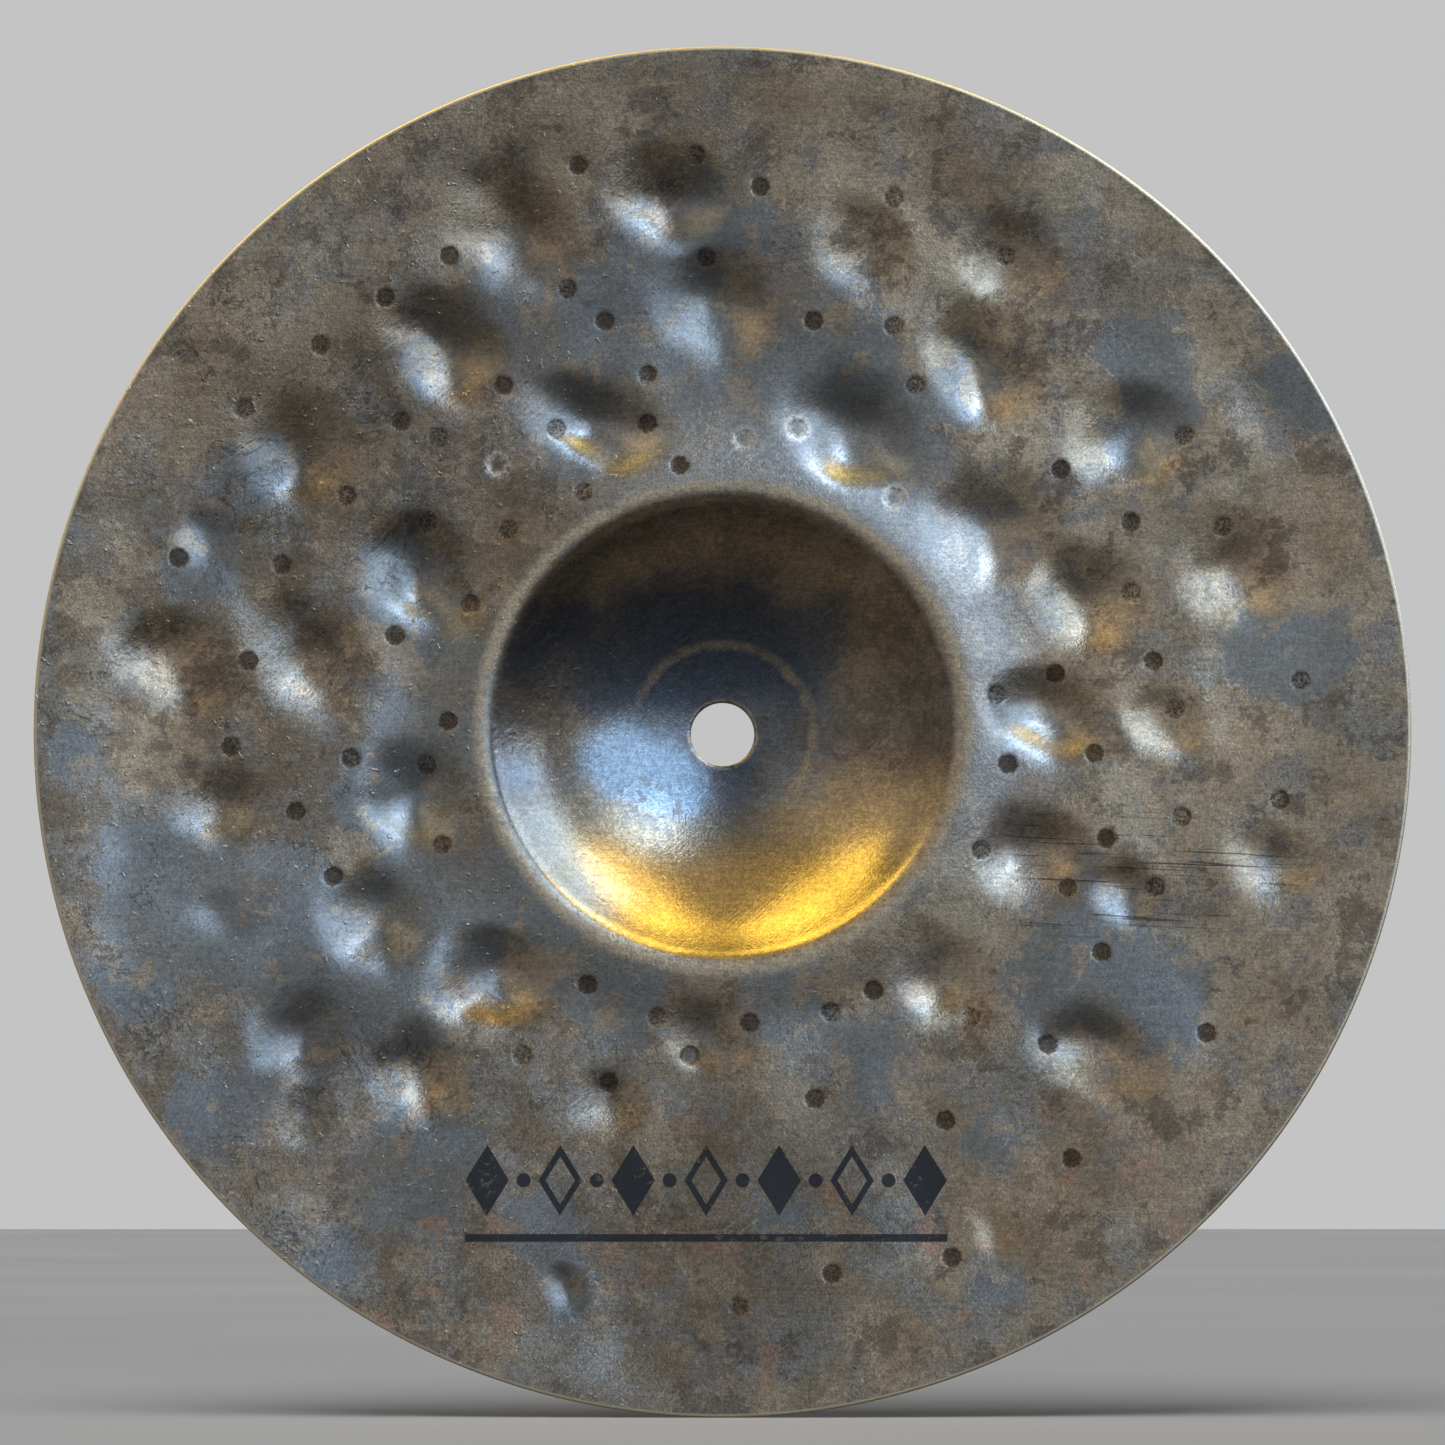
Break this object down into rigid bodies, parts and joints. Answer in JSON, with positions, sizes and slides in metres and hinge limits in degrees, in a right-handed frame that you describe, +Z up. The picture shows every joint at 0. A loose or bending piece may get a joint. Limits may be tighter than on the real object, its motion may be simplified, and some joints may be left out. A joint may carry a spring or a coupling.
{
  "type": "splash cymbal",
  "caption": "Small unlathed bronze splash cymbal with a large bell, a centre hole, heavy hammer dents and a printed band of lozenges.",
  "frame": {"origin": "middle of the centre hole, halfway through the sheet", "axes": "+Y along the cymbal's axis from the hollow underside towards the top of the bell, +Z up with the cymbal standing upright, the printed mark lowest on the underside"},
  "size_m": [0.254, 0.0239, 0.254],
  "materials": {
    "bronze": "dark oxidised cast bronze, satin, mottled grey-brown with blue-grey and tan patches",
    "ink": "black printed ink, slightly worn"
  },
  "bodies": {
    "root": {"cymbal": "bronze", "printed_mark": "ink"}
  },
  "joints": []
}
